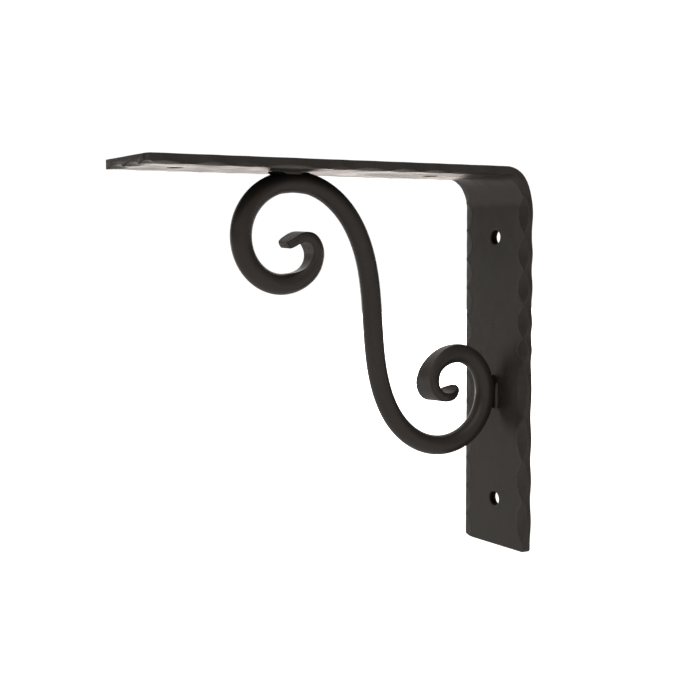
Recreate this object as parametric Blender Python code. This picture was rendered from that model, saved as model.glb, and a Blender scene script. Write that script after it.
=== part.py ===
# Mantel bracket of forged iron: a flat bar bent into an L, with an S-shaped scroll
# of round bar welded into its corner.
# The origin is on the back of the wall leg, midway between its two screw holes.
# +Y points into the wall, the shelf arm runs along -Y, and +Z is up.

import bmesh
import bpy
import numpy as np

mm = 0.001

# Flat bar: the wall leg, the bend and the shelf arm
bar_width = 54.4 * mm
bar_thickness = 4.7 * mm
leg_height = 203.0 * mm        # foot of the wall leg to the top of the shelf arm
arm_length = 213.7 * mm        # back of the wall leg to the end of the shelf arm
bend_reach = 16.5 * mm         # the bend's outside is a quarter of an ellipse: this far
bend_drop = 20.5 * mm          # out from the wall, and this far down the leg
foot_below_origin = 96.0 * mm
edge_ease = 0.4 * mm           # the arrises that the hammer did not reach
ring_pitch = 3.2 * mm          # spacing of the sections along the bar
bend_steps = 12

# Screw holes, oval, on the middle line of the bar
hole_across = 8.7 * mm
hole_along = 7.6 * mm
wall_hole_spacing = 141.8 * mm
arm_holes_from_wall = (46.6 * mm, 189.3 * mm)
hole_sides = 32

# Hammer facets on the inner arrises: each is a shallow lens, widest at its middle.
# Their widths across the wide face of the bar and depths down its edge, in millimetres:
leg_facet_size = (6.8, 1.8)
arm_facet_size = (4.3, 0.9)
far_leg_facet_size = (6.0, 0.4)
far_arm_facet_size = (4.0, 0.5)

# Middle and length of each facet in millimetres: up the leg from its foot and round the
# bend, then along the arm from the wall. The far side has them at an even pitch.
leg_facets = ((16.0, 23.5), (38.2, 20.8), (60.2, 23.3), (86.5, 29.0), (107.3, 12.4), (121.9, 16.8),
              (140.2, 17.8), (157.9, 16.6), (178.6, 19.7), (202.0, 27.0))
arm_facets = ((29.5, 17.5), (45.5, 12.5), (60.0, 16.0), (78.6, 16.4), (98.0, 20.0), (114.5, 12.0),
              (141.0, 25.0), (164.5, 14.0), (181.5, 17.0), (205.4, 17.4))
far_facet_pitch = 15.8
far_facet_start = 5.0

# Corners knocked back at the ends of the bar, across it and along it, in millimetres
foot_near_corner = (0.3, 0.4)
foot_far_corner = (4.0, 1.2)
arm_near_corner = (4.2, 3.4)
arm_far_corner = (3.8, 0.5)

# Facets under the arm's end
end_facet_middles = (-18.5 * mm, -2.0 * mm, 14.5 * mm)
end_facet_length = 15.5 * mm
end_facet_bite = 0.8 * mm

# Scroll: the middle line of a round bar, by how sharply it bends along its length.
# Arc lengths run from a point on the stem, towards the shelf when negative.
stem_point = (-80.7 * mm, 16.6 * mm)
stem_angle = -84.8             # degrees, the way the bar runs down the stem
scroll_bends = ((-231.5, 57), (-225, -79), (-219, -172), (-213, -96), (-206, -93), (-196, -49),
                (-182, -50), (-165, -43), (-135, -38), (-100, -30), (-60, -18), (0, 4), (50, 25),
                (90, 36), (120, 38), (145, 58), (160, 47), (172, 75), (184, 136), (188, 150),
                (192, 50), (202, 0))

# Sections of the scroll, in millimetres: arc length, half width, half depth, how far from
# the middle line the hammer left a flat on the wall side and on the other side of the
# stem, and how far the blade leans for each millimetre across. Where the first four sizes
# agree the bar is round.
scroll_sections = ((-231.5, 6.8, 4.2, 2.1, 2.0, 0.05), (-226, 7.2, 4.6, 2.0, 2.1, 0.05),
                   (-221, 7.4, 5.0, 2.6, 2.2, 0.04), (-216, 7.2, 5.0, 3.4, 2.4, 0.02),
                   (-211, 6.8, 5.0, 3.5, 2.7, 0), (-205, 5.9, 5.1, 4.2, 3.0, 0),
                   (-198, 5.4, 5.3, 5.0, 3.3, 0), (-192, 5.3, 5.3, 5.3, 4.3, 0),
                   (-186, 5.25, 5.25, 5.25, 5.25, 0), (-160, 5.35, 5.35, 5.35, 5.35, 0),
                   (-140, 5.45, 5.45, 5.45, 5.45, 0), (-113, 5.3, 5.3, 5.3, 5.3, 0),
                   (-108, 5.25, 5.6, 4.45, 5.6, 0), (-99, 5.25, 5.6, 4.45, 5.6, 0),
                   (-94, 5.25, 5.25, 5.25, 5.25, 0), (60, 5.15, 5.15, 5.15, 5.15, 0),
                   (95, 5.2, 5.2, 5.2, 5.2, 0), (148, 5.05, 5.05, 5.05, 5.05, 0),
                   (157, 5.3, 5.3, 5.1, 4.4, 0), (167, 6.0, 5.4, 4.3, 3.3, 0),
                   (172, 7.0, 5.6, 3.9, 2.8, 0), (177, 7.9, 5.8, 3.3, 2.6, -0.05),
                   (184, 8.2, 5.6, 2.8, 2.4, -0.08), (190, 7.5, 5.0, 2.4, 2.2, 0),
                   (195, 5.8, 4.4, 2.0, 1.8, 0.2), (199, 3.3, 4.0, 1.6, 1.4, 0.4),
                   (202, 1.3, 3.8, 1.2, 1.1, 0.5))
scroll_sides = 16
scroll_step = 5.0 * mm         # spacing of the sections on the stem and rings
scroll_end_step = 2.0 * mm     # and on the forged ends
forged_ends = (-186 * mm, 148 * mm)
tip_round = 3.5 * mm           # length over which each tip narrows to its rounded end
tip_left = 0.7                 # share of the width and thickness left at the very tip

# Welds that join the scroll to the bar, as low oval beads
weld_gap = 0.3 * mm
weld_width = 6.6 * mm
shelf_weld_at = -126.8 * mm    # along Y
shelf_weld_length = 11.5 * mm
wall_weld_at = -14.0 * mm      # along Z
wall_weld_length = 14.0 * mm
weld_root = 0.5 * mm           # how far past the middle line each bead reaches
weld_sides = 16

# Black iron finish
iron_colour = (0.062, 0.058, 0.054, 1.0)
iron_roughness = 0.42
iron_metallic = 0.55

# Worked out from the sizes above
foot_z = -foot_below_origin
top_z = leg_height - foot_below_origin
half_width = bar_width / 2
bend_turns = np.linspace(0, np.pi / 2, 241)
bend_points = np.stack([bend_reach * (np.cos(bend_turns) - 1),
                        top_z + bend_drop * (np.sin(bend_turns) - 1)], 1)
bend_lengths = np.linalg.norm(np.diff(bend_points, axis=0), axis=1)
bend_along = np.concatenate([[0], np.cumsum(bend_lengths)])
bend_start = leg_height - bend_drop
bend_end = bend_start + bend_along[-1]
bar_length = bend_end + arm_length - bend_reach


def clear_scene():
    for obj in list(bpy.data.objects):
        bpy.data.objects.remove(obj, do_unlink=True)


def iron(name):
    material = bpy.data.materials.new(name)
    material.use_nodes = True
    shader = material.node_tree.nodes["Principled BSDF"]
    shader.inputs["Base Color"].default_value = iron_colour
    shader.inputs["Roughness"].default_value = iron_roughness
    shader.inputs["Metallic"].default_value = iron_metallic
    return material


def tube_of_sections(name, sections):
    """A closed solid from a row of sections, each with the same number of points.

    sections has the shape (rings, sides, 3). Each section runs anticlockwise seen
    from the end of the row, so the faces point outwards.
    """
    rings, sides, _ = sections.shape
    mesh = bpy.data.meshes.new(name)
    build = bmesh.new()
    points = [build.verts.new(point) for point in sections.reshape(-1, 3)]
    for ring in range(rings - 1):
        for side in range(sides):
            after = (side + 1) % sides
            low = ring * sides
            high = low + sides
            build.faces.new((points[low + side], points[low + after],
                             points[high + after], points[high + side]))
    build.faces.new(points[sides - 1::-1])
    build.faces.new(points[(rings - 1) * sides:])
    bmesh.ops.recalc_face_normals(build, faces=build.faces)
    build.to_mesh(mesh)
    build.free()
    obj = bpy.data.objects.new(name, mesh)
    bpy.context.collection.objects.link(obj)
    return obj


def cylinder(name, radius, length, middle, axis, sides, stretch=1.0):
    """A cylinder along axis, stretched across it for an oval."""
    build = bmesh.new()
    bmesh.ops.create_cone(build, cap_ends=True, segments=sides, radius1=radius,
                          radius2=radius, depth=length)
    bmesh.ops.scale(build, vec=(1.0, stretch, 1.0), verts=build.verts)
    mesh = bpy.data.meshes.new(name)
    build.to_mesh(mesh)
    build.free()
    obj = bpy.data.objects.new(name, mesh)
    obj.rotation_euler = (np.arctan2(-axis[1], axis[2]), 0, 0)
    obj.location = middle
    obj.hide_render = True
    obj.display_type = "WIRE"
    bpy.context.collection.objects.link(obj)
    return obj


def join_or_cut(obj, tool, operation):
    modifier = obj.modifiers.new(tool.name, "BOOLEAN")
    modifier.operation = operation
    modifier.solver = "EXACT"
    modifier.object = tool


def bar_path(along):
    """The outer face of the flat bar at a length from its foot: point and inward direction."""
    turned = np.interp(along - bend_start, bend_along, bend_turns)
    inward = -np.stack([bend_drop * np.cos(turned), bend_reach * np.sin(turned)], -1)
    inward /= np.linalg.norm(inward, axis=1)[:, None]
    point = np.stack([bend_reach * (np.cos(turned) - 1),
                      top_z + bend_drop * (np.sin(turned) - 1)], 1)
    point[:, 1] += np.minimum(along - bend_start, 0)
    point[:, 0] -= np.maximum(along - bend_end, 0)
    return point, inward


def facets(places, size, start=0.0):
    """Rows of middle, length, width and depth of facets, in metres along the bar."""
    rows = np.array([(*place, *size) for place in places]) * mm
    rows[:, 0] += start
    return rows


def cut_by(rows, along):
    """How far the facets reach across the face and down the edge: 1 - (distance from the
    middle / half the length) squared, times the facet's size, and 0 on the ridges."""
    away = (along[:, None] - rows[:, 0]) * 2 / rows[:, 1]
    open_by = np.clip(1 - away ** 2, 0, 1)
    return np.max(open_by * rows[:, 2], axis=1), np.max(open_by * rows[:, 3], axis=1)


def corner_cut(from_end, corner):
    across, along = corner
    return across * mm * np.clip(1 - from_end / (along * mm), 0, 1)


def flat_bar_sections():
    """Eight-sided sections of the bar, with both inner arrises faceted by the hammer."""
    near = np.concatenate([facets(leg_facets, leg_facet_size),
                           facets(arm_facets, arm_facet_size, bend_end - bend_reach)])
    far_middles = np.arange(far_facet_start, bar_length / mm, far_facet_pitch)
    far = facets([(middle, far_facet_pitch) for middle in far_middles], far_leg_facet_size)
    far[far[:, 0] > bend_end, 2:] = np.array(far_arm_facet_size) * mm

    foot_rings = np.array([0, foot_far_corner[1] * mm])
    arm_end_rings = bar_length - np.array([arm_near_corner[1], arm_far_corner[1], 0]) * mm
    leg = np.linspace(foot_rings[-1], bend_start, round(bend_start / ring_pitch))[1:]
    bend = np.linspace(bend_start, bend_end, bend_steps)[1:]
    run = arm_end_rings[0] - bend_end
    arm_rings = np.linspace(bend_end, arm_end_rings[0], round(run / ring_pitch))[1:-1]
    along = np.concatenate([foot_rings, leg, bend, arm_rings, arm_end_rings])

    near_in, near_down = cut_by(near, along)
    far_in, far_down = cut_by(far, along)
    near_side = half_width - corner_cut(along, foot_near_corner)
    near_side -= corner_cut(bar_length - along, arm_near_corner)
    far_side = -half_width + corner_cut(along, foot_far_corner)
    far_side += corner_cut(bar_length - along, arm_far_corner)

    ease = np.full(len(along), edge_ease)
    zero = np.zeros(len(along))
    deep = np.full(len(along), bar_thickness)
    across = np.stack([near_side - ease, near_side, near_side, near_side - ease - near_in,
                       far_side + ease + far_in, far_side, far_side, far_side + ease], 1)
    depth = np.stack([zero, ease, deep - ease - near_down, deep,
                      deep, deep - ease - far_down, ease, zero], 1)
    point, inward = bar_path(along)
    place = point[:, None, :] + inward[:, None, :] * depth[:, :, None]
    return np.concatenate([across[:, :, None], place], 2)


def make_flat_bar():
    bar = tube_of_sections("flat_bar", flat_bar_sections())
    through = bar_thickness * 3
    for side in (-0.5, 0.5):
        middle = (0, -bar_thickness / 2, side * wall_hole_spacing)
        join_or_cut(bar, cylinder("wall_hole", hole_across / 2, through, middle, (0, 1, 0),
                                  hole_sides, hole_along / hole_across), "DIFFERENCE")
    for reach in arm_holes_from_wall:
        middle = (0, -reach, top_z - bar_thickness / 2)
        join_or_cut(bar, cylinder("arm_hole", hole_across / 2, through, middle, (0, 0, 1),
                                  hole_sides, hole_along / hole_across), "DIFFERENCE")
    # a blow across the arris leaves a lens: a chord of a large circle, end_facet_bite deep
    blow_radius = end_facet_length ** 2 / (8 * end_facet_bite)
    outward = np.array([0, -1, -1]) / np.sqrt(2)
    arris = np.array([0, -arm_length, top_z - bar_thickness])
    for across in end_facet_middles:
        middle = arris + outward * (blow_radius - end_facet_bite) + np.array([across, 0, 0])
        join_or_cut(bar, cylinder("end_blow", blow_radius, 20 * mm, middle,
                                  (0, 1, -1), 64), "DIFFERENCE")
    bar.data.materials.append(iron("black_iron_bar"))
    return bar


def scroll_line(fine=0.25 * mm):
    """The middle line: bends are added up both ways from the point on the stem."""
    places, bends = np.array(scroll_bends, float).T
    places = places * mm
    halves = []
    for way, end in ((-1, places[0]), (1, places[-1])):
        along = way * np.linspace(0, abs(end), round(abs(end) / fine) + 1)
        step = np.diff(along)
        bend = np.interp(along, places, bends)
        turn = np.cumsum((bend[1:] + bend[:-1]) / 2 * step)
        angle = np.radians(stem_angle) + np.concatenate([[0], turn])
        middle = (angle[1:] + angle[:-1]) / 2
        y = stem_point[0] + np.concatenate([[0], np.cumsum(np.cos(middle) * step)])
        z = stem_point[1] + np.concatenate([[0], np.cumsum(np.sin(middle) * step)])
        halves.append(np.stack([along, y, z, angle], 1))
    return np.concatenate([halves[0][:0:-1], halves[1]])


def scroll_places(first, last):
    """Arc lengths of the sections, closer together on the forged ends and the tips."""
    tip = tip_round * (1 - np.cos(np.radians((15, 40, 65, 90))))
    stretches = [
        first + tip,
        np.linspace(first + tip_round, forged_ends[0],
                    round((forged_ends[0] - first - tip_round) / scroll_end_step))[1:],
        np.linspace(forged_ends[0], forged_ends[1],
                    round((forged_ends[1] - forged_ends[0]) / scroll_step))[1:],
        np.linspace(forged_ends[1], last - tip_round,
                    round((last - tip_round - forged_ends[1]) / scroll_end_step))[1:-1],
        (last - tip)[::-1],
    ]
    return np.concatenate(stretches)


def scroll_sections_at(along, line):
    """Sections of the scroll: an ellipse about the middle line, cut off by two flats."""
    table = np.array(scroll_sections)
    width, depth, left, right, lean = (np.interp(along, table[:, 0] * mm, column)
                                       for column in table[:, 1:].T)
    from_end = np.minimum(along - line[0, 0], line[-1, 0] - along) / tip_round
    narrow = tip_left + (1 - tip_left) * np.sqrt(1 - (1 - np.clip(from_end, 0, 1)) ** 2)
    y, z, angle = (np.interp(along, line[:, 0], column) for column in line[:, 1:].T)

    turn = np.linspace(0, 2 * np.pi, scroll_sides, endpoint=False) + np.pi / scroll_sides
    across = (width * narrow)[:, None] * np.cos(turn) * mm
    aside = np.clip(depth[:, None] * np.sin(turn), -right[:, None], left[:, None])
    aside = aside * narrow[:, None] * mm
    place_y = y[:, None] - np.sin(angle)[:, None] * aside
    place_z = z[:, None] + np.cos(angle)[:, None] * aside - lean[:, None] * across
    return np.stack([across, place_y, place_z], 2)


def make_scroll():
    line = scroll_line()
    along = scroll_places(line[0, 0], line[-1, 0])
    scroll = tube_of_sections("scroll", scroll_sections_at(along, line))
    underside = top_z - bar_thickness - weld_gap
    length = underside - line[:, 2].max() + weld_root
    bead = cylinder("shelf_weld", weld_width / 2, length,
                    (0, shelf_weld_at, underside - length / 2), (0, 0, 1), weld_sides,
                    shelf_weld_length / weld_width)
    join_or_cut(scroll, bead, "UNION")
    face = -bar_thickness - weld_gap
    length = face - line[:, 1].max() + weld_root
    bead = cylinder("wall_weld", weld_width / 2, length,
                    (0, face - length / 2, wall_weld_at), (0, 1, 0), weld_sides,
                    wall_weld_length / weld_width)
    join_or_cut(scroll, bead, "UNION")
    scroll.data.materials.append(iron("black_iron_scroll"))
    return scroll


def shade(obj, angle=30):
    obj.data.shade_smooth()
    obj.data.set_sharp_from_angle(angle=np.radians(angle))


clear_scene()
shade(make_flat_bar())
shade(make_scroll())
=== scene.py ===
import bmesh
import bpy
import numpy as np
from mathutils import Matrix


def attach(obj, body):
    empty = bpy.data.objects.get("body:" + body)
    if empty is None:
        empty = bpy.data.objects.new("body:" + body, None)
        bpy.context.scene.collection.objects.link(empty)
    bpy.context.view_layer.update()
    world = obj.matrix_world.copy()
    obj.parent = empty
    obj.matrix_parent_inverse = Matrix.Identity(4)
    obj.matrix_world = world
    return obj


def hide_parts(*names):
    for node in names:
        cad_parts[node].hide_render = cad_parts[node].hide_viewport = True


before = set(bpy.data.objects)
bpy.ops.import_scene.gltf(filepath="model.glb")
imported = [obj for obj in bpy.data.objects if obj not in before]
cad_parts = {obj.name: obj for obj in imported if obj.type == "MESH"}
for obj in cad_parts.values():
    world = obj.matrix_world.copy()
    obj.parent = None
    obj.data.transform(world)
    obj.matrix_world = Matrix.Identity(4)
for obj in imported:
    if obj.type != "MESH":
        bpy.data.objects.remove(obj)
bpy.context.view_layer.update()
print("frame loaded:", sorted(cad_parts))

# all shapes are worked out in millimetres and put into the meshes in metres
mm = 0.001


# the camera comes first

lens = {
    "place": (0.5903, -0.4363, 0.0610),       # metres
    "yaw": 59.96,                             # degrees
    "pitch": 3.99,
    "roll": -0.129,
    "focalLength": 69.31,
    "sensorWidth": 36,
    "clip": (0.01, 50),                       # nearest and farthest that it sees
}


def makeCamera():
    # right, up and backward directions as the columns of a matrix: yaw turns the way ahead on the
    # level, pitch tips it down, and roll turns right and up about it
    yaw, pitch, roll = np.radians([lens["yaw"], lens["pitch"], lens["roll"]])
    level = np.array([-np.sin(yaw), np.cos(yaw), 0])
    side = np.array([np.cos(yaw), np.sin(yaw), 0])
    top = np.array([0, 0, 1])
    ahead = np.cos(pitch) * level - np.sin(pitch) * top
    above = np.sin(pitch) * level + np.cos(pitch) * top
    right = np.cos(roll) * side + np.sin(roll) * above
    up = -np.sin(roll) * side + np.cos(roll) * above
    data = bpy.data.cameras.new("camera")
    data.sensor_fit = "HORIZONTAL"
    data.sensor_width = lens["sensorWidth"]
    data.lens = lens["focalLength"]
    data.clip_start, data.clip_end = lens["clip"]
    camera = bpy.data.objects.new("camera", data)
    bpy.context.scene.collection.objects.link(camera)
    turn = Matrix(np.stack([right, up, -ahead], 1).tolist()).to_4x4()
    camera.matrix_world = Matrix.Translation(lens["place"]) @ turn
    bpy.context.scene.camera = camera


makeCamera()
print("camera set")


# shader maths: operators on a socket add Math nodes

class Wire:
    def __init__(self, tree, socket=None):
        self.tree = tree
        self.socket = socket

    def node(self, kind, settings=None, inputs=None, output=0):
        # any node: its settings come first, then the values or links of its sockets
        made = self.tree.nodes.new(kind)
        for name, value in (settings or {}).items():
            setattr(made, name, value)
        for name, value in (inputs or {}).items():
            if isinstance(value, Wire):
                self.tree.links.new(value.socket, made.inputs[name])
            else:
                made.inputs[name].default_value = value
        return Wire(self.tree, made.outputs[output] if made.outputs else None)

    def math(self, operation, *values, clamp=False):
        return self.node("ShaderNodeMath", {"operation": operation, "use_clamp": clamp},
                         dict(enumerate(values)))

    def __add__(self, other):
        return self.math("ADD", self, other)

    def __radd__(self, other):
        return self.math("ADD", other, self)

    def __sub__(self, other):
        return self.math("SUBTRACT", self, other)

    def __rsub__(self, other):
        return self.math("SUBTRACT", other, self)

    def __mul__(self, other):
        return self.math("MULTIPLY", self, other)

    def __rmul__(self, other):
        return self.math("MULTIPLY", other, self)

    def clamp(self):
        return self.math("ADD", self, 0.0, clamp=True)

    def step(self, low, high):
        # 0 below low, 1 above high, and an S between them
        return self.node("ShaderNodeMapRange", {"interpolation_type": "SMOOTHSTEP"},
                         {"Value": self, "From Min": low, "From Max": high})

    def noise(self, place, scale, detail, roughness, warp):
        return self.node("ShaderNodeTexNoise", {}, {"Vector": place, "Scale": scale, "Detail": detail,
                                                    "Roughness": roughness, "Distortion": warp})

    def blend(self, share, low, high):
        return self.node("ShaderNodeMix", {"data_type": "RGBA"}, {0: share, 6: low, 7: high}, output=2)

    def along(self, way):
        # how far a place or a direction reaches along another one
        return self.node("ShaderNodeVectorMath", {"operation": "DOT_PRODUCT"}, {0: self, 1: way},
                         output=1)


# black iron finish, with painted shade and painted highlights

finish = {
    "dark": (0.0270, 0.0230, 0.0200, 1),      # the black wax itself
    "brown": (0.0450, 0.0360, 0.0315, 1),     # warm patches
    "olive": (0.0360, 0.0350, 0.0300, 1),     # cool patches
    "russet": (0.0380, 0.0320, 0.0268, 1),    # takes the place of olive on the scroll
    "wearAndSheen": (0.0750, 0.0680, 0.0620, 1),      # lighter: where the hammer or handling thinned it, and painted highlights along some arrises
    "sootAndShadeBlack": (0.0040, 0.0030, 0.0025, 1),     # dull black: painted shade in crevices, bores and weld roots, and soot on the arm's end
    # how many marks to a metre, detail, roughness, warp
    "patch": (42.0, 3.0, 0.55, 0.6),
    "tint": (25.2, 2.0, 0.5, 0.3),
    "streak": (230.0, 4.0, 0.6, 0.3),
    "grain": (900.0, 4.0, 0.6, 0.0),
    "scuff": (294.0, 5.0, 0.65, 0.4),
    "dents": (109.2, 2.0, 0.45, 0.2),
    "streakLength": (1.0, 0.22, 0.22),        # streaks run along both legs of the bar
    "mottle": (0.3, 0.35, 0.35),              # shares of patch, streak and grain in the colour
    "rubAndSheen": (0.45, 0.25),                      # wear and painted highlight, in scuffs and all over
    "roughness": 0.36,
    "rougher": (0.07, 0.08, 0.12, 0.15),      # by patch, streak, grain and wear
    "sootAndShade": 0.95,                             # how far soot and painted shade hide the wax
    "dentHeight": 0.00012,                    # metres
    "grainHeight": 0.000035,
}


def ironMaterial(name, settings):
    # wax on forged iron: patches, streaks and grain mottle it, wear and painted highlights make it
    # lighter and rougher, and soot and painted shade (in bores, crevices, weld roots and beside the
    # shelf weld) fade it to a dull black that hardly shines
    material = bpy.data.materials.new(name)
    material.use_nodes = True
    tree = material.node_tree
    tree.nodes.clear()
    w = Wire(tree)
    place = w.node("ShaderNodeTexCoord", output=3)
    wearAndSheen = w.node("ShaderNodeAttribute", {"attribute_name": "wearAndSheen"}, output=2)
    sootAndShade = w.node("ShaderNodeAttribute", {"attribute_name": "sootAndShade"}, output=2)
    drawn = w.node("ShaderNodeVectorMath", {"operation": "MULTIPLY"},
                   {0: place, 1: settings["streakLength"]})
    patch = w.noise(place, *settings["patch"]).step(0.38, 0.62)
    tint = w.noise(place, *settings["tint"]).step(0.42, 0.6)
    streak = w.noise(drawn, *settings["streak"]).step(0.36, 0.66)
    grain = w.noise(place, *settings["grain"])
    scuff = w.noise(place, *settings["scuff"])
    dents = w.noise(place, *settings["dents"])

    byPatch, byStreak, byGrain = settings["mottle"]
    mottle = patch * byPatch + streak * byStreak + grain.step(0.36, 0.64) * byGrain
    inScuffs, allOver = settings["rubAndSheen"]
    # wear and painted highlights blend the colour towards the lighter one
    rubAndSheen = (wearAndSheen * inScuffs * scuff.step(0.3, 0.7) + wearAndSheen * allOver).clamp()
    colour = w.blend(tint, settings["olive"], settings["brown"])
    colour = w.blend(mottle, settings["dark"], colour)
    colour = w.blend(rubAndSheen, colour, settings["wearAndSheen"])

    byPatch, byStreak, byGrain, byWear = settings["rougher"]
    rough = settings["roughness"] + (patch - 0.5) * byPatch + (streak - 0.5) * byStreak
    rough = rough + (grain - 0.5) * byGrain + wearAndSheen * byWear

    coarse = w.node("ShaderNodeBump", {}, {"Strength": 1.0, "Distance": settings["dentHeight"],
                                           "Height": dents})
    fine = w.node("ShaderNodeBump", {}, {"Strength": 0.6, "Distance": settings["grainHeight"],
                                         "Height": grain + scuff * 1.5, "Normal": coarse})
    wax = w.node("ShaderNodeBsdfPrincipled", {}, {
        "Base Color": colour, "Roughness": rough, "Normal": fine,
        "Metallic": 0.0, "IOR": 1.5, "Specular IOR Level": 0.5})
    dull = w.node("ShaderNodeBsdfPrincipled", {}, {
        "Base Color": settings["sootAndShadeBlack"], "Roughness": 0.9, "Specular IOR Level": 0.05})
    # soot and painted shade swap the wax for a dull black
    surface = w.node("ShaderNodeMixShader", {}, {
        0: (sootAndShade * settings["sootAndShade"]).clamp(), 1: wax, 2: dull})
    w.node("ShaderNodeOutputMaterial", {}, {"Surface": surface})
    return material


barIron = ironMaterial("black_iron_bar", finish)
scrollIron = ironMaterial("black_iron_scroll", {**finish, "olive": finish["russet"]})
print("finish made")


# what every piece needs

def addPiece(name, points, faces, material, node, wearAndSheen, sootAndShade):
    # a mesh at the origin, with wear (taking in painted highlights) and soot (taking in painted shade)
    # as attributes of its points, in place of a CAD node
    mesh = bpy.data.meshes.new(name)
    mesh.from_pydata((np.asarray(points) * mm).tolist(), [], faces)
    for mark, values in (("wearAndSheen", wearAndSheen), ("sootAndShade", sootAndShade)):
        mesh.attributes.new(mark, "FLOAT", "POINT").data.foreach_set("value", values.astype(np.float32))
    build = bmesh.new()
    build.from_mesh(mesh)
    bmesh.ops.recalc_face_normals(build, faces=build.faces)
    build.to_mesh(mesh)
    build.free()
    mesh.shade_smooth()
    mesh.materials.append(material)
    piece = bpy.data.objects.new(name, mesh)
    bpy.context.scene.collection.objects.link(piece)
    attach(piece, "root")
    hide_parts(node)
    print(name, "triangles:", sum(len(face) - 2 for face in faces))


def ripple(a, b, waves, seed):
    # soft undulation: a sum of sines over the two lengths, with seeded directions and phases,
    # each wave as high as it is long compared with the longest
    random = np.random.default_rng(seed)
    total = 0
    for length in waves:
        turn, phase = random.uniform(0, 2 * np.pi, 2)
        total = total + (length / max(waves)) * np.sin(
            2 * np.pi / length * (a * np.cos(turn) + b * np.sin(turn)) + phase)
    return total / len(waves)


def stretch(first, last, step):
    # evenly spaced values from first to last, at most a step apart
    return np.linspace(first, last, int(np.ceil((last - first) / step)) + 1)


def joined(*runs):
    # runs that share their end values, as one rising list
    return np.concatenate([runs[0]] + [run[1:] for run in runs[1:]])


def tube(index):
    # faces between neighbouring rows of points that each close round
    after = np.roll(index, -1, axis=1)
    return np.stack([index[:-1], after[:-1], after[1:], index[1:]], -1)


def caps(index):
    # one face over each open end of a tube
    return [index[0, ::-1].tolist(), index[-1].tolist()]


# flat bar

bar = {
    "width": 54.4,
    "thickness": 4.7,
    "legHeight": 203.0,
    "armLength": 213.7,
    "footBelow": 96.0,                        # from the frame's origin down to the foot
    "bendReach": 16.5,                        # the bend is a quarter of an ellipse, this long
    "bendDrop": 20.5,                         # and this high
    "ease": 0.4,                              # how round the arrises are
    "endEase": 0.35,
    "endRows": (0, 0.12, 0.35),               # the rows that ease both ends
    "endShares": (1, 0.38, 0),                # and how much of the easing each has
    "wallHoles": (25.1, 166.9),               # up from the foot
    "armHoles": (46.6, 189.3),                # out from the wall
    "holeAcross": 8.7,
    "holeAlong": 7.6,
    "rim": 0.45,
    "window": 8.0,                            # half the square that each hole is let into
    # near facets: middle, up from the foot or out from the wall, and length
    "legFacets": ((16.0, 23.5), (38.2, 20.8), (60.2, 23.3), (86.5, 29.0), (107.3, 12.4), (121.9, 16.8),
                  (140.2, 17.8), (157.9, 16.6), (178.6, 19.7), (202.0, 27.0)),
    "armFacets": ((29.5, 17.5), (45.5, 12.5), (60.0, 16.0), (78.6, 16.4), (98.0, 20.0), (114.5, 12.0),
                  (141.0, 25.0), (164.5, 14.0), (181.5, 17.0), (205.4, 17.4)),
    "farFacetPitch": 15.8,
    "farFacetStart": 5.0,
    # how far a facet goes in over the inner face, and how far down the side
    "legFacetSize": (6.8, 1.8),
    "armFacetSize": (4.3, 0.9),
    "farLegFacetSize": (6.0, 0.35),
    "farArmFacetSize": (4.0, 0.5),
    "bendFacetShare": 0.62,                   # how deep the facet round the bend is
    "facetBorder": (1, 0.55, 0.45, 0.45, 0.45, 0.55, 1),    # wear from border to border; the full 1 at each border is a painted highlight
    # corners knocked back: how far in, over what length
    "footNearCorner": (1.0, 1.1),
    "footFarCorner": (4.0, 1.2),
    "armNearCorner": (4.2, 1.4),
    "armFarCorner": (0.5, 0.8),
    "scallopMiddles": (-14.0, 6.5, 26.5),
    "scallopLength": 19.5,
    "scallopUp": 1.6,
    "scallopAlong": 5.5,
    "scallopBorder": 0.4,                     # how high its painted highlight border goes
    "scallopLightening": (1, 0.3),                  # how much lighter on that border, a painted highlight, and inside it
    "ripple": 0.05,                           # height of the hammered undulation
    "waves": (38, 27, 19, 14, 11),            # the lengths of its waves
    "backSeed": 3,
    "innerSeed": 8,
    "backRipple": 0.6,                        # its share on the outer face
    "sideRipple": 0.5,                        # and on the sides
    "sideRun": 12.0,                          # how much of the undulation a side takes in
    "backFade": 4.0,                          # how far from the arris it dies out
    "innerFade": 6.0,
    "arrisWear": 0.5,
    "sideWear": 0.2,
    "farSideWear": 0.25,
    "facetWear": (0.6, 0.3),                  # how deep a facet is fully worn, and the least wear
    "farFacetWear": (0.3, 0.5),
    # the arm's near corner is painted lighter: a painted highlight on that arris
    "cornerHighlight": 0.6,
    "rimWear": 0.8,
    "endWear": 0.25,
    "endSoot": 0.5,
    "endReach": 0.8,                          # how far in from the end face these two go
    # the mesh: rows along the bar, columns across it
    "rowStep": 0.95,
    "bendStep": 0.7,
    "windowStep": 1.0,
    "tipStep": 0.25,
    "footRows": (0.7, 1.1),                   # two more rows by the foot
    "tipRows": (4.0, 0.5),                    # where fine rows start and stop, from the arm's end
    "straightOut": 18.5,                      # columns run straight out to here, then follow the arris
    "columnStep": 1.3,
}

# what differs between the bar's two sides
nearLook = {"bulge": 0.8, "ease": bar["ease"], "crown": 0.1, "seed": 5, "shift": 40,
            "foot": bar["footNearCorner"], "arm": bar["armNearCorner"]}
farLook = {"bulge": 0.4, "ease": 0.2, "crown": 0.04, "seed": 6, "shift": 80,
           "foot": bar["footFarCorner"], "arm": bar["armFarCorner"]}

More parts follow.
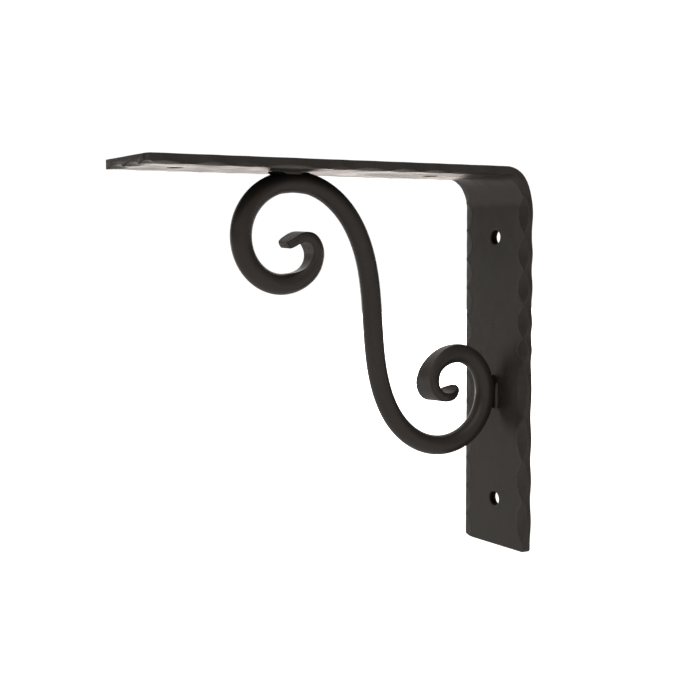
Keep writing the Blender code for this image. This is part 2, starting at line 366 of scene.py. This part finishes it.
# where the section's columns lie in each stretch of it
marginShares = np.array([0.25, 0.55, 0.8, 0.94, 1.0])
sideShares = np.array([0.2, 0.4, 0.6, 0.8, 0.93])
facetShares = np.array([0, 0.08, 0.3, 0.5, 0.7, 0.92, 1.0])
roundTurns = np.radians([30, 60, 90])
straight = joined(stretch(-bar["straightOut"], -bar["window"], bar["columnStep"]),
                  stretch(-bar["window"], bar["window"], bar["windowStep"]),
                  stretch(bar["window"], bar["straightOut"], bar["columnStep"]))

# where the straight columns start on the outer face, and on the inner face
backFirst = len(marginShares)
innerFirst = (3 * len(marginShares) + len(straight) + len(roundTurns) + len(sideShares)
              + len(facetShares) - 1)

bendTurns = np.linspace(0, np.pi / 2, 481)
barTop = bar["legHeight"] - bar["footBelow"]
bendPoints = np.stack([bar["bendReach"] * (np.cos(bendTurns) - 1),
                       barTop + bar["bendDrop"] * (np.sin(bendTurns) - 1)], 1)
bendAlong = np.concatenate([[0], np.cumsum(np.linalg.norm(np.diff(bendPoints, axis=0), axis=1))])
bendStart = bar["legHeight"] - bar["bendDrop"]
bendEnd = bendStart + bendAlong[-1]
armZero = bendEnd - bar["bendReach"]
barLength = armZero + bar["armLength"]
holeMiddles = [*bar["wallHoles"], *(armZero + reach for reach in bar["armHoles"])]


def onBar(across, along, depth):
    # straight up the wall, a quarter of an ellipse, straight out along the shelf; depth goes
    # inwards from the outer face at right angles to that line
    turned = np.interp(along - bendStart, bendAlong, bendTurns)
    inY = -bar["bendDrop"] * np.cos(turned)
    inZ = -bar["bendReach"] * np.sin(turned)
    size = np.hypot(inY, inZ)
    y = bar["bendReach"] * (np.cos(turned) - 1) - np.maximum(along - bendEnd, 0)
    z = barTop + bar["bendDrop"] * (np.sin(turned) - 1) + np.minimum(along - bendStart, 0)
    return np.stack([across, y + depth * inY / size, z + depth * inZ / size], -1)


def facetRows(places, size, start=0.0):
    # one row to a facet: middle, length, how far in, how far down
    rows = np.array([(*place, *size) for place in places])
    rows[:, 0] += start
    return rows


def facetTables():
    # the near side's facets and the far side's; the leg's last near one lies round the bend
    near = np.concatenate([facetRows(bar["legFacets"], bar["legFacetSize"]),
                           facetRows(bar["armFacets"], bar["armFacetSize"], armZero)])
    near[len(bar["legFacets"]) - 1, 2:] *= bar["bendFacetShare"]
    middles = np.arange(bar["farFacetStart"], barLength, bar["farFacetPitch"])
    far = facetRows([(middle, bar["farFacetPitch"]) for middle in middles], bar["farLegFacetSize"])
    far[far[:, 0] > bendEnd, 2:] = bar["farArmFacetSize"]
    return near, far


def cutBy(facets, along):
    # a facet opens by 1 - (distance from its middle / half its length) squared
    away = (along - facets[:, 0]) * 2 / facets[:, 1]
    share = np.clip(1 - away ** 2, 0, 1)
    cutIn, cutDown = ((share * size).max(axis=1, keepdims=True) for size in facets[:, 2:].T)
    return cutIn, cutDown


def cornerCut(fromEnd, corner):
    # a straight cut that is deepest at the end and runs out over the corner's length
    return corner[0] * np.clip(1 - fromEnd / corner[1], 0, 1)


def sideLine(facets, along, look):
    # half the width: the side swells over each facet by the cosine of the distance from its
    # middle, and is knocked back at the foot and at the arm's end
    away = (along - facets[:, 0]) * 2 / facets[:, 1]
    swell = np.max(0.5 + 0.5 * np.cos(np.pi * np.clip(away, -1, 1)), axis=1, keepdims=True)
    side = bar["width"] / 2 - look["bulge"] * (1 - swell)
    return side - cornerCut(along, look["foot"]) - cornerCut(barLength - along, look["arm"])


def hammered(across, along, seed):
    # the low undulation that the hammer leaves, above and below the face
    return bar["ripple"] * ripple(across, along, bar["waves"], seed)


def outerDepth(across, along):
    # the outer face's undulation, before it is shifted inwards
    return bar["backRipple"] * hammered(across, along, bar["backSeed"])


def innerDip(across, along):
    # hammered undulation of the inner face, dying out at the arrises
    wave = hammered(across, along, bar["innerSeed"]) + bar["ripple"]
    return wave * np.clip((bar["width"] / 2 - np.abs(across)) / bar["innerFade"], 0, 1)


def edgeColumns(arris):
    # columns from the last straight one out to the arris, closer together towards it
    return straight[-1] + (arris - straight[-1]) * marginShares


def flank(along, side, cutIn, cutDown, look):
    # one side of the section, from the outer face to the inner one: a quarter round, the side,
    # and the facet, a slope that is crowned by 4 x (1 - x)
    ease, edge = bar["ease"], look["ease"]
    low = bar["thickness"] - edge - cutDown
    down = look["shift"] + bar["sideRun"] * sideShares
    wave = bar["ripple"] + hammered(along, down, look["seed"])
    crown = look["crown"] * 4 * facetShares * (1 - facetShares)
    across = np.concatenate([side - ease + ease * np.sin(roundTurns),
                             side - bar["sideRipple"] * wave,
                             side - (edge + cutIn) * facetShares + crown], 1)
    depth = np.concatenate([ease - ease * np.cos(roundTurns) + 0 * side,
                            ease + (low - ease) * sideShares,
                            low + (edge + cutDown) * facetShares + crown], 1)
    return across, depth


def flankWearAndSheen(onSide, onFacet):
    # how worn the same columns are; on the near side the facet borders and the arm's corner carry
    # painted highlights too
    blank = np.zeros_like(onFacet)[:, :1]
    return np.concatenate([bar["arrisWear"] + blank * roundTurns,
                           onSide + blank * sideShares, onFacet], 1)


def scallopRise(across, fromEnd):
    # lens-shaped cuts under the arm's end: 1 - (distance from the middle / half the length)
    # cubed, less the distance from the end
    away = np.abs(across[..., None] - np.array(bar["scallopMiddles"])) * 2 / bar["scallopLength"]
    share = np.clip(1 - away ** 3, 0, 1).max(axis=-1)
    return bar["scallopUp"] * np.clip(share - fromEnd / bar["scallopAlong"], 0, 1)


def barRows():
    # places along the bar, close together at both ends and round the bend, with a row on the
    # edges of each hole's window
    window = bar["window"]
    runs = [np.array([*bar["endRows"], *bar["footRows"]])]
    at = runs[0][-1]
    for middle in holeMiddles:
        if at < bendStart < middle:
            runs += [stretch(at, bendStart, bar["rowStep"]),
                     stretch(bendStart, bendEnd, bar["bendStep"])]
            at = bendEnd
        runs += [stretch(at, middle - window, bar["rowStep"]),
                 stretch(middle - window, middle + window, bar["windowStep"])]
        at = middle + window
    tip, last = barLength - np.array(bar["tipRows"])
    runs += [stretch(at, tip, bar["rowStep"]), stretch(tip, last, bar["tipStep"]),
             np.array([last, *(barLength - row for row in bar["endRows"][::-1])])]
    return joined(*runs)


def barGrid(along):
    # each row is one section, going round from the outer face's far edge: outer face, near
    # flank, inner face, far flank, as a place across the bar and a depth into it
    thick, half = bar["thickness"], bar["width"] / 2
    fromEnd = barLength - along
    near, far = facetTables()
    nearIn, nearDown = cutBy(near, along)
    farIn, farDown = cutBy(far, along)
    nearSide = sideLine(near, along, nearLook)
    farSide = sideLine(far, along, farLook)
    columns = straight + 0 * along

    backAcross = np.concatenate([-edgeColumns(farSide - bar["ease"])[:, ::-1], columns,
                                 edgeColumns(nearSide - bar["ease"])], 1)
    backDepth = outerDepth(backAcross, along)
    backDepth = backDepth - backDepth.min()
    backDepth *= np.clip((half - np.abs(backAcross)) / bar["backFade"], 0, 1)
    nearAcross, nearDepth = flank(along, nearSide, nearIn, nearDown, nearLook)
    innerAcross = np.concatenate([edgeColumns(nearSide - (nearLook["ease"] + nearIn))[:, -2::-1],
                                  columns[:, ::-1],
                                  -edgeColumns(farSide - (farLook["ease"] + farIn))[:, :-1]], 1)
    innerDepth = thick - innerDip(innerAcross, along)
    farAcross, farDepth = flank(along, farSide, farIn, farDown, farLook)
    across = np.concatenate([backAcross, nearAcross, innerAcross, -farAcross[:, ::-1]], 1)
    depth = np.concatenate([backDepth, nearDepth, innerDepth, farDepth[:, ::-1]], 1)
    across = np.clip(across, -half, half)
    depth = np.minimum(depth, thick)

    # a facet gets a painted highlight along its two borders, and so does the corner knocked back by the
    # end
    atCorner = cornerCut(fromEnd, nearLook["arm"]) > 0
    nearFull, nearLeast = bar["facetWear"]
    farFull, farLeast = bar["farFacetWear"]
    nearWearAndSheen = flankWearAndSheen(bar["sideWear"] + bar["cornerHighlight"] * atCorner,
                         np.clip(nearDown / nearFull, nearLeast, 1) * np.array(bar["facetBorder"]))
    farWear = flankWearAndSheen(bar["farSideWear"],
                        np.clip(farDown / farFull, farLeast, 1) + 0 * facetShares)
    wearAndSheen = np.concatenate([0 * backAcross, nearWearAndSheen, 0 * innerAcross, farWear[:, ::-1]], 1)

    # the scallops get a painted highlight along their borders and are lighter inside, and the end face
    # is rubbed and sooty
    rise = scallopRise(across, fromEnd)
    cut = depth > thick - rise
    depth = np.where(cut, thick - rise, depth)
    onBorder, inside = bar["scallopLightening"]
    wearAndSheen = np.where(cut, np.where(rise < bar["scallopBorder"], onBorder, inside), wearAndSheen)
    atEnd = np.clip(1 - fromEnd / bar["endReach"], 0, 1) + 0 * across
    wearAndSheen = np.maximum(wearAndSheen, bar["endWear"] * atEnd)
    sootAndShade = bar["endSoot"] * atEnd

    # both ends are eased: sections shrink towards their middle over the last rows
    shrink = bar["endEase"] * np.interp(np.minimum(along, fromEnd), bar["endRows"], bar["endShares"])
    across = across * (1 - shrink / half)
    depth = thick / 2 + (depth - thick / 2) * (1 - 2 * shrink / thick)
    return across, depth, wearAndSheen, sootAndShade


def holeRings(edgeAcross, edgeAlong, middle):
    # rings of points from the window's square in to the oval rim, round it, through the bar, and
    # out again to the square in the outer face
    thick, rim = bar["thickness"], bar["rim"]
    wide, long = bar["holeAcross"] / 2, bar["holeAlong"] / 2
    turn = np.arctan2(edgeAlong / long, edgeAcross / wide)
    ovalAcross, ovalAlong = wide * np.cos(turn), long * np.sin(turn)
    outwards = np.stack([ovalAcross / wide ** 2, ovalAlong / long ** 2])
    outwards = outwards / np.linalg.norm(outwards, axis=0)
    rimAcross, rimAlong = ovalAcross + rim * outwards[0], ovalAlong + rim * outwards[1]
    # each ring: across, along, how far down from the face, how worn
    rings = [(edgeAcross + (rimAcross - edgeAcross) * share,
              edgeAlong + (rimAlong - edgeAlong) * share, 0, 0) for share in (0.4, 0.7, 0.9, 1.0)]
    for angle in roundTurns:
        shift = rim * (1 - np.sin(angle))
        rings.append((ovalAcross + shift * outwards[0], ovalAlong + shift * outwards[1],
                      rim * (1 - np.cos(angle)), bar["rimWear"]))
    rings += [(ovalAcross, ovalAlong, rim + (thick - 2 * rim) * share, 0) for share in (0.25, 0.5)]

    points, wearAndSheen, sootAndShade = [], [], []
    for fromInner, run in ((True, rings), (False, rings[-2::-1])):
        for across, beside, down, rubAndSheen in run:
            along = middle + beside
            if fromInner:
                dip = innerDip(across, along) if down <= rim else 0
                depth = thick - dip - down
            else:
                depth = down if down > 0 else np.clip(outerDepth(across, along), 0, 1)
            points.append(onBar(across, along, depth))
            wearAndSheen.append(np.full(len(across), rubAndSheen))
            # painted shade: the bore gets darker the deeper it goes below the rim
            sootAndShade.append(np.full(len(across), np.clip((down - 0.2) / 0.5, 0, 1)))
    return np.array(points), np.array(wearAndSheen), np.array(sootAndShade)


def makeBar():
    # the sections carried along the bar, with a square window left out of both faces at each hole
    # and the hole's rings set between the two windows
    along = barRows()
    across, depth, wearAndSheen, sootAndShade = barGrid(along[:, None])
    rows, count = across.shape
    index = np.arange(rows * count).reshape(rows, count)
    quads = tube(index)
    keep = np.ones((rows - 1, count), bool)
    points = [onBar(across, along[:, None], depth).reshape(-1, 3)]
    wear, black, faces = [wearAndSheen.ravel()], [sootAndShade.ravel()], []
    total = rows * count
    window, size = bar["window"], len(straight)
    first, last = np.searchsorted(straight, [-window - 1e-6, window - 1e-6])
    back = index[:, backFirst:backFirst + size]
    inner = index[:, innerFirst:innerFirst + size][:, ::-1]
    for middle in holeMiddles:
        low, high = np.searchsorted(along, [middle - window - 1e-6, middle + window - 1e-6])
        for start in (backFirst + first, innerFirst + size - 1 - last):
            keep[low:high, start:start + last - first] = False
        outline = [np.concatenate([grid[low, first:last], grid[low:high, last],
                                   grid[high, last:first:-1], grid[high:low:-1, first]])
                   for grid in (inner, back)]
        ring, ringWorn, ringShade = holeRings(across.ravel()[outline[0]],
                                             np.repeat(along, count)[outline[0]] - middle, middle)
        between = total + np.arange(ringWorn.size).reshape(ringWorn.shape)
        faces += tube(np.array([outline[0], *between, outline[1]])).reshape(-1, 4).tolist()
        total += ringWorn.size
        points.append(ring.reshape(-1, 3))
        wear.append(ringWorn.ravel())
        black.append(ringShade.ravel())
    faces += quads[keep].tolist() + caps(index)
    addPiece("flat_bar_forged", np.concatenate(points), faces, barIron, "flat_bar",
             np.concatenate(wear), np.concatenate(black))


makeBar()


# scroll

scroll = {
    "stemPoint": (-80.7, 16.6),               # a point on the stem, and the stem's angle there
    "stemAngle": -84.8,
    # place along the bar from that point, and how many radians it bends there over a metre
    "bends": ((-231.5, 57), (-225, -79), (-219, -172), (-213, -96), (-206, -93), (-196, -49),
              (-182, -50), (-165, -43), (-135, -38), (-100, -30), (-60, -18), (0, 4), (50, 25),
              (90, 36), (120, 38), (145, 58), (160, 47), (172, 75), (184, 136), (188, 150),
              (192, 50), (202, 0)),
    # place, half width, half depth, the two flats' distances from the middle line, lean
    "sections": ((-231.5, 6.8, 4.2, 2.1, 2.0, 0.05), (-226, 7.2, 4.6, 2.0, 2.1, 0.05),
                 (-221, 7.4, 5.0, 2.6, 2.2, 0.04), (-216, 7.2, 5.0, 3.4, 2.4, 0.02),
                 (-211, 6.8, 5.0, 3.5, 2.7, 0), (-205, 5.9, 5.1, 4.2, 3.0, 0),
                 (-198, 5.4, 5.3, 5.0, 3.3, 0), (-192, 5.3, 5.3, 5.3, 4.3, 0),
                 (-186, 5.25, 5.25, 5.25, 5.25, 0), (-160, 5.35, 5.35, 5.35, 5.35, 0),
                 (-140, 5.45, 5.45, 5.45, 5.45, 0), (-113, 5.3, 5.3, 5.3, 5.3, 0),
                 (-108, 5.25, 5.6, 4.45, 5.6, 0), (-99, 5.25, 5.6, 4.45, 5.6, 0),
                 (-94, 5.25, 5.25, 5.25, 5.25, 0), (60, 5.15, 5.15, 5.15, 5.15, 0),
                 (95, 5.2, 5.2, 5.2, 5.2, 0), (148, 5.05, 5.05, 5.05, 5.05, 0),
                 (157, 5.3, 5.3, 5.1, 4.4, 0), (167, 6.0, 5.4, 4.3, 3.3, 0),
                 (172, 7.0, 5.6, 3.9, 2.8, 0), (177, 7.9, 5.8, 3.3, 2.6, -0.05),
                 (184, 8.2, 5.6, 2.8, 2.4, -0.08), (190, 7.5, 5.0, 2.4, 2.2, 0),
                 (195, 5.8, 4.4, 2.0, 1.8, 0.2), (199, 3.3, 4.0, 1.6, 1.4, 0.4),
                 (202, 1.3, 3.8, 1.2, 1.1, 0.5)),
    "tipRound": 3.5,
    "tipLeft": 0.7,                           # the share of the section that a tip ends in
    "ripple": 0.01,
    "waves": (31, 23, 17, 12),
    "seed": 12,
    "forgedFrom": 5.6,                        # how thick the bar may be and still count as forged
    "wear": 0.08,                             # all along
    "forgedWear": 0.25,                       # more where the bar is hammered thin
    "flatWear": 0.6,                          # and more again on its flats
    "weldAt": -104.0,                         # painted shade beside the shelf weld, on the ring's outside
    "shadeReach": 40.0,
    "shadeRound": 0.3,                         # the more, the farther round the bar it goes
    "lineStep": 0.25,
    "rowStep": 0.65,
    "sides": 80,
}


def scrollLine():
    # bends are added up both ways from the point on the stem, and the directions after them
    places, bends = np.array(scroll["bends"], float).T
    halves = []
    for way, end in ((-1, places[0]), (1, places[-1])):
        along = way * np.linspace(0, abs(end), round(abs(end) / scroll["lineStep"]) + 1)
        step = np.diff(along)
        bend = np.interp(along, places, bends) * mm
        turn = np.cumsum((bend[1:] + bend[:-1]) / 2 * step)
        angle = np.radians(scroll["stemAngle"]) + np.concatenate([[0], turn])
        middle = (angle[1:] + angle[:-1]) / 2
        y = scroll["stemPoint"][0] + np.concatenate([[0], np.cumsum(np.cos(middle) * step)])
        z = scroll["stemPoint"][1] + np.concatenate([[0], np.cumsum(np.sin(middle) * step)])
        halves.append(np.stack([along, y, z, angle], 1))
    return np.concatenate([halves[0][:0:-1], halves[1]])


def makeScroll():
    # an ellipse carried along the line, cut off by two flats, narrowing at both tips
    line = scrollLine()
    first, last = line[0, 0], line[-1, 0]
    tip = scroll["tipRound"] * (1 - np.cos(np.radians(np.arange(3, 91, 6))))
    along = np.concatenate([first + tip[:-1],
                            stretch(first + scroll["tipRound"], last - scroll["tipRound"],
                                    scroll["rowStep"]),
                            (last - tip[:-1])[::-1]])[:, None]
    table = np.array(scroll["sections"])
    width, depth, left, right, lean = (np.interp(along, table[:, 0], column)
                                       for column in table[:, 1:].T)
    y, z, angle = (np.interp(along, line[:, 0], column) for column in line[:, 1:].T)
    fromEnd = np.minimum(along - first, last - along) / scroll["tipRound"]
    narrow = np.sqrt(1 - (1 - np.clip(fromEnd, 0, 1)) ** 2)
    narrow = scroll["tipLeft"] + (1 - scroll["tipLeft"]) * narrow

    turn = np.linspace(0, 2 * np.pi, scroll["sides"], endpoint=False)
    wave = 1 - scroll["ripple"] * (1 + ripple(along, 5 * turn, scroll["waves"], scroll["seed"]))
    across = width * narrow * np.cos(turn) * wave
    aside = depth * np.sin(turn) * wave
    cut = (aside > left) | (aside < -right)
    aside = np.clip(aside, -right, left) * narrow
    points = np.stack([across, y - np.sin(angle) * aside,
                       z + np.cos(angle) * aside - lean * across], 2)
    index = np.arange(across.size).reshape(across.shape)

    # the thinner the flats leave it, the more it was forged
    forged = np.clip((scroll["forgedFrom"] - left - 0.5 * right) / 2, 0, 1)
    wearAndSheen = np.maximum(scroll["wear"], scroll["flatWear"] * forged * cut + scroll["forgedWear"] * forged)
    # painted shade on the ring's outside beside the shelf weld, where it lies in the crevice's shadow
    sootAndShade = np.clip(1 - np.abs(along - scroll["weldAt"]) / scroll["shadeReach"], 0, 1)
    sootAndShade = sootAndShade * np.clip(scroll["shadeRound"] + np.sin(turn), 0, 1)
    addPiece("scroll_forged", points.reshape(-1, 3), tube(index).reshape(-1, 4).tolist() + caps(index),
             scrollIron, "scroll", wearAndSheen.ravel(), sootAndShade.ravel())


makeScroll()


# welds

welds = {
    "sides": 48,
    "rings": 40,
    "gap": 0.3,                               # air left to the flat bar
    "crown": 0.75,                            # how far the outline shrinks towards the top
    "ripple": 0.05,
    "pitch": 1.7,                             # length of one bead ripple
    "square": 0.7,                            # 1 is an ellipse, less is squarer
    # middle along the joint, middle across it, length, width, height, how worn, how much painted shade
    "shelfRootShade": (-129.3, 0.0, 22.0, 8.6, 2.6, 0.0, 1.0),
    "shelfBead": (-128.8, 3.7, 11.0, 2.6, 1.3, 0.7, 0.0),
    "wallRootShade": (-12.4, 0.0, 18.2, 5.4, 2.6, 0.0, 0.9),
    "wallBead": (-14.3, 2.8, 14.1, 2.6, 1.5, 0.5, 0.0),
}


def squared(wave):
    # a sine or cosine raised to a power with its sign kept
    return np.sign(wave) * np.abs(wave) ** welds["square"]


def makeWeld(name, size, place):
    # a low mound: its outline shrinks as the root of 1 minus the height share squared, and
    # ripples cross it along its length
    middle, aside, length, width, height, wearAndSheen, sootAndShade = size
    turn = np.linspace(0, 2 * np.pi, welds["sides"], endpoint=False)
    share = np.linspace(0, 1, welds["rings"])[:, None]
    shrink = np.sqrt(1 - welds["crown"] * share ** 2)
    along = length / 2 * shrink * squared(np.cos(turn))
    wobble = 1 + welds["ripple"] * np.sin(2 * np.pi * along / welds["pitch"])
    across = width / 2 * shrink * wobble * squared(np.sin(turn))
    up = height * share + 0 * along
    points = place(along + middle, across + aside, up).reshape(-1, 3)
    index = np.arange(along.size).reshape(along.shape)
    addPiece(name, points, tube(index).reshape(-1, 4).tolist() + caps(index), scrollIron,
             "scroll", np.full(len(points), wearAndSheen), np.full(len(points), sootAndShade))


def onShelf(along, across, up):
    # a mound that hangs below the arm
    return np.stack([across, along, barTop - bar["thickness"] - welds["gap"] - up], -1)


def onWall(along, across, up):
    # a mound that stands out from the wall leg
    return np.stack([across, -bar["thickness"] - welds["gap"] - up, along], -1)


# each root is a dull black mound of painted crevice shade beside a lighter bead
makeWeld("shelf_weld_root_shade", welds["shelfRootShade"], onShelf)
makeWeld("shelf_weld_bead", welds["shelfBead"], onShelf)
makeWeld("wall_weld_root_shade", welds["wallRootShade"], onWall)
makeWeld("wall_weld_bead", welds["wallBead"], onWall)


# floor, world and lights

studio = {
    "floorBelow": 0.55,
    "floorHalf": 12.0,
    "floorColour": (0.5, 0.5, 0.5, 1),
    "floorGlow": 0.23,                        # near the bracket
    "backGlow": 3.05,                         # and how much more far behind it
    "behind": (-0.7, 0.714, 0.0),             # the way to there
    "backAt": (1.0, 6.0),                     # where that starts and ends, in metres
    "backTint": (1.0, 0.885, 0.815, 1),
    "tint": (1.0, 0.945, 0.9, 1),
    "seenTint": (1, 1, 1, 1),                 # the camera itself sees plain white
    "seenWhite": 1.05,
    "room": 0.145,
    # each light: the way to it from the bracket, how it spreads, its strength
    "lights": (((-0.866, 0.5, 0.0), (0.42, 0.92), 1.0),
               ((0.15, -0.55, 0.82), (0.6, 0.95), 0.85),
               ((0.95, -0.1, 0.3), (0.6, 1.0), 0.27)),
}


def makeFloor():
    # a large square that glows more the farther it reaches behind the bracket
    corners = np.array([(-1, -1), (1, -1), (1, 1), (-1, 1)]) * studio["floorHalf"]
    mesh = bpy.data.meshes.new("floor")
    mesh.from_pydata([(x, y, -studio["floorBelow"]) for x, y in corners.tolist()], [], [(0, 1, 2, 3)])
    material = bpy.data.materials.new("pale_floor")
    material.use_nodes = True
    tree = material.node_tree
    tree.nodes.clear()
    w = Wire(tree)
    seen = w.node("ShaderNodeLightPath", output=0)
    back = w.node("ShaderNodeTexCoord", output=3).along(studio["behind"]).step(*studio["backAt"])
    glow = studio["floorGlow"] + back * studio["backGlow"]
    glow = glow + seen * (studio["seenWhite"] - glow).clamp()
    colour = w.blend(seen, w.blend(back, studio["tint"], studio["backTint"]), studio["seenTint"])
    colour = w.node("ShaderNodeVectorMath", {"operation": "SCALE"}, {0: colour, "Scale": glow})
    surface = w.node("ShaderNodeBsdfPrincipled", {}, {
        "Base Color": studio["floorColour"], "Roughness": 0.9,
        "Emission Color": colour, "Emission Strength": 1.0})
    w.node("ShaderNodeOutputMaterial", {}, {"Surface": surface})
    mesh.materials.append(material)
    floor = bpy.data.objects.new("floor", mesh)
    bpy.context.scene.collection.objects.link(floor)


def makeWorld():
    # a dim room with broad soft lights, each fading with the angle away from its middle
    world = bpy.data.worlds.new("studio")
    world.use_nodes = True
    bpy.context.scene.world = world
    tree = world.node_tree
    tree.nodes.clear()
    w = Wire(tree)
    way = w.node("ShaderNodeTexCoord", output=0)
    light = studio["room"]
    for middle, spread, strength in studio["lights"]:
        light = way.along(middle).step(*spread) * strength + light
    seen = w.node("ShaderNodeLightPath", output=0)
    light = light + seen * (studio["seenWhite"] - light)
    colour = w.blend(seen, studio["tint"], studio["seenTint"])
    shade = w.node("ShaderNodeBackground", {}, {"Color": colour, "Strength": light})
    w.node("ShaderNodeOutputWorld", {}, {"Surface": shade})
    bpy.context.scene.view_settings.view_transform = "Standard"


makeFloor()
makeWorld()
print("studio set")
